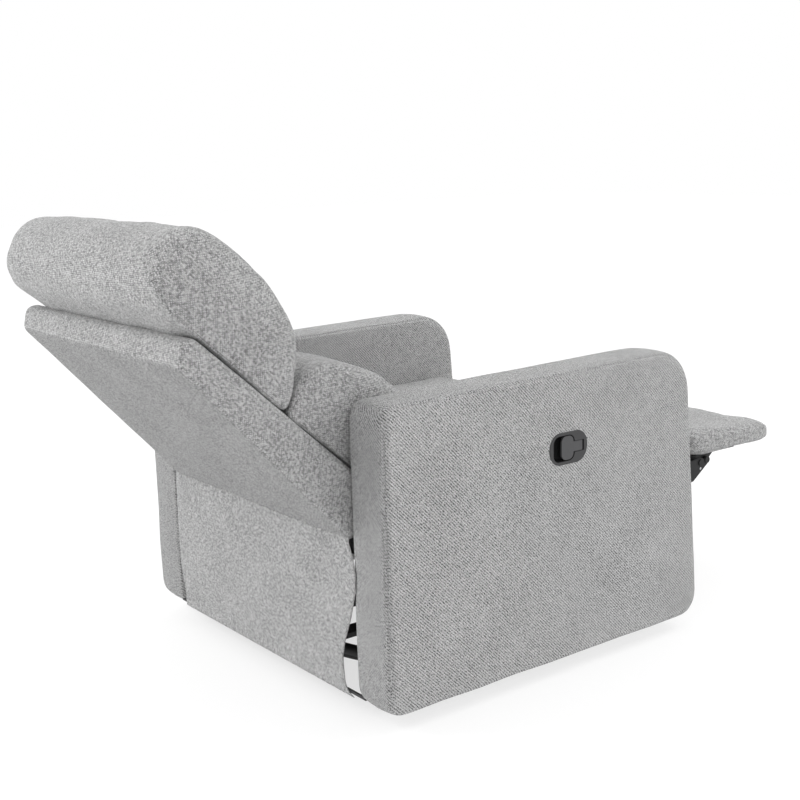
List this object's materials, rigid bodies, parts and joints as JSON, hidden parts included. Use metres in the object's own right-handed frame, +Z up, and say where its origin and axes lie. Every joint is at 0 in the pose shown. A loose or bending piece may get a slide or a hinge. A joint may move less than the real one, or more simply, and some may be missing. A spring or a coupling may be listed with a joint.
{
  "type": "glider nursery chair",
  "caption": "Upholstered swivel glider recliner with padded track arms, hinged reclining back, folding footrest, side pull handle and a ring base.",
  "frame": {"origin": "swivel axis at floor level, under the middle of the arms' depth", "axes": "-Y is the way the chair faces, +X the sitter's left, +Z up"},
  "size_m": [0.815, 1.4602, 0.8581],
  "materials": {
    "upholstery": "heathered light grey tweed, matt",
    "black_cloth": "black deck cloth",
    "black_steel": "satin black powder coat",
    "bright_steel": "zinc plated",
    "spring_steel": "dark oiled wire",
    "charcoal_plastic": "fine moulded texture",
    "plywood": "raw plywood",
    "softwood": "raw sawn wood",
    "rubber": "matt rubber"
  },
  "bodies": {
    "base": {"floor_strip": "rubber", "base_ring": "black_steel", "base_spokes": "black_steel", "swivel_lower_plate": "black_steel", "swivel_balls": "bright_steel", "swivel_pivot_bolt": "bright_steel"},
    "turntable": {"swivel_upper_plate": "black_steel", "swivel_rails": "black_steel", "swivel_arms": "black_steel", "glide_posts": "black_steel", "glide_upper_pins": "bright_steel"},
    "front_glide": {"front_glide_links": "black_steel"},
    "rear_glide": {"rear_glide_links": "black_steel"},
    "chassis": {"glide_side_rails": "black_steel", "glide_hangers": "black_steel", "glide_lower_pins": "bright_steel", "chassis_cross_tubes": "black_steel", "mechanism_plate_left": "black_steel", "mechanism_plate_right": "black_steel", "arm_bolts": "bright_steel", "seat_side_rails": "softwood", "seat_end_rails": "softwood", "seat_risers": "black_steel", "seat_springs": "spring_steel", "seat_cushion": "upholstery", "crevice_cloth": "black_cloth", "arm_panel_left": "plywood", "arm_panel_right": "plywood", "arm_cover_left": "upholstery", "arm_cover_right": "upholstery", "handle_bezel": "charcoal_plastic", "paddle_hinge_pin": "bright_steel", "rear_skirt": "upholstery", "skirt_rail": "black_cloth", "footrest_plate_pins": "bright_steel"},
    "paddle": {"release_paddle": "charcoal_plastic"},
    "back": {"back_cover": "upholstery", "back_brackets": "black_steel", "back_pivot_pins": "bright_steel", "back_side_panels": "plywood", "back_rails": "softwood", "back_springs": "spring_steel", "lumbar_cushion": "upholstery", "headrest_cushion": "upholstery"},
    "main_links": {"footrest_main_links": "black_steel", "footrest_main_pins": "black_steel"},
    "carrier_links": {"footrest_carrier_links": "black_steel", "footrest_cross_tube": "black_steel", "footrest_heel_pins": "black_steel"},
    "struts": {"footrest_struts": "black_steel", "strut_rivets": "bright_steel"},
    "control_links": {"footrest_control_links": "black_steel"},
    "footrest": {"footrest_pad_pins": "black_steel", "footrest_brackets": "black_steel", "footrest_board": "plywood", "footrest_pad": "upholstery", "footrest_screws": "bright_steel"}
  },
  "joints": [
    {"name": "swivel", "type": "hinge", "parent": "base", "child": "turntable", "pos_m": [0, 0, 0.03], "axis": [0, 0, 1], "continuous": true},
    {"name": "glide", "type": "hinge", "parent": "turntable", "child": "front_glide", "pos_m": [0, -0.15, 0.165], "axis": [1, 0, 0], "range_deg": [-30, 30]},
    {"name": "glide_seat", "type": "hinge", "parent": "front_glide", "child": "chassis", "pos_m": [0, -0.15, 0.075], "axis": [1, 0, 0], "range_deg": [-31, 31]},
    {"name": "glide_rear", "type": "hinge", "parent": "turntable", "child": "rear_glide", "pos_m": [0, 0.15, 0.165], "axis": [1, 0, 0], "range_deg": [-31, 31]},
    {"name": "back_recline", "type": "hinge", "parent": "chassis", "child": "back", "pos_m": [0, 0.3, 0.29], "axis": [1, 0, 0], "range_deg": [0, 32]},
    {"name": "footrest_fold", "type": "hinge", "parent": "chassis", "child": "main_links", "pos_m": [0, -0.0731, 0.22995], "axis": [1, 0, 0], "range_deg": [0, 84.93]},
    {"name": "carrier_pivot", "type": "hinge", "parent": "main_links", "child": "carrier_links", "pos_m": [0, -0.19055, 0.22441], "axis": [1, 0, 0], "range_deg": [-117.69, 1]},
    {"name": "footrest_pivot", "type": "hinge", "parent": "carrier_links", "child": "footrest", "pos_m": [0, -0.51296, 0.2925], "axis": [1, 0, 0], "range_deg": [-1, 122.75]},
    {"name": "strut_pivot", "type": "hinge", "parent": "main_links", "child": "struts", "pos_m": [0, -0.2181, 0.22311], "axis": [1, 0, 0], "range_deg": [-117.45, 1]},
    {"name": "control_pivot", "type": "hinge", "parent": "chassis", "child": "control_links", "pos_m": [0, -0.02027, 0.28452], "axis": [1, 0, 0], "range_deg": [-1, 73.34]},
    {"name": "paddle_pull", "type": "hinge", "parent": "chassis", "child": "paddle", "pos_m": [-0.4, -0.05, 0.427], "axis": [0, 0, 1], "range_deg": [0, 25], "stiffness_Nm_per_rad": 0.3, "springref_deg": -5.73}
  ],
  "couplings": [
    {"joint": "glide_seat", "follows": "glide", "ratio": -1},
    {"joint": "glide_rear", "follows": "glide", "ratio": 1},
    {"joint": "carrier_pivot", "follows": "footrest_fold", "ratio": -1.3739},
    {"joint": "footrest_pivot", "follows": "footrest_fold", "ratio": 1.4335},
    {"joint": "strut_pivot", "follows": "footrest_fold", "ratio": -1.3711},
    {"joint": "control_pivot", "follows": "footrest_fold", "ratio": 0.85171}
  ]
}
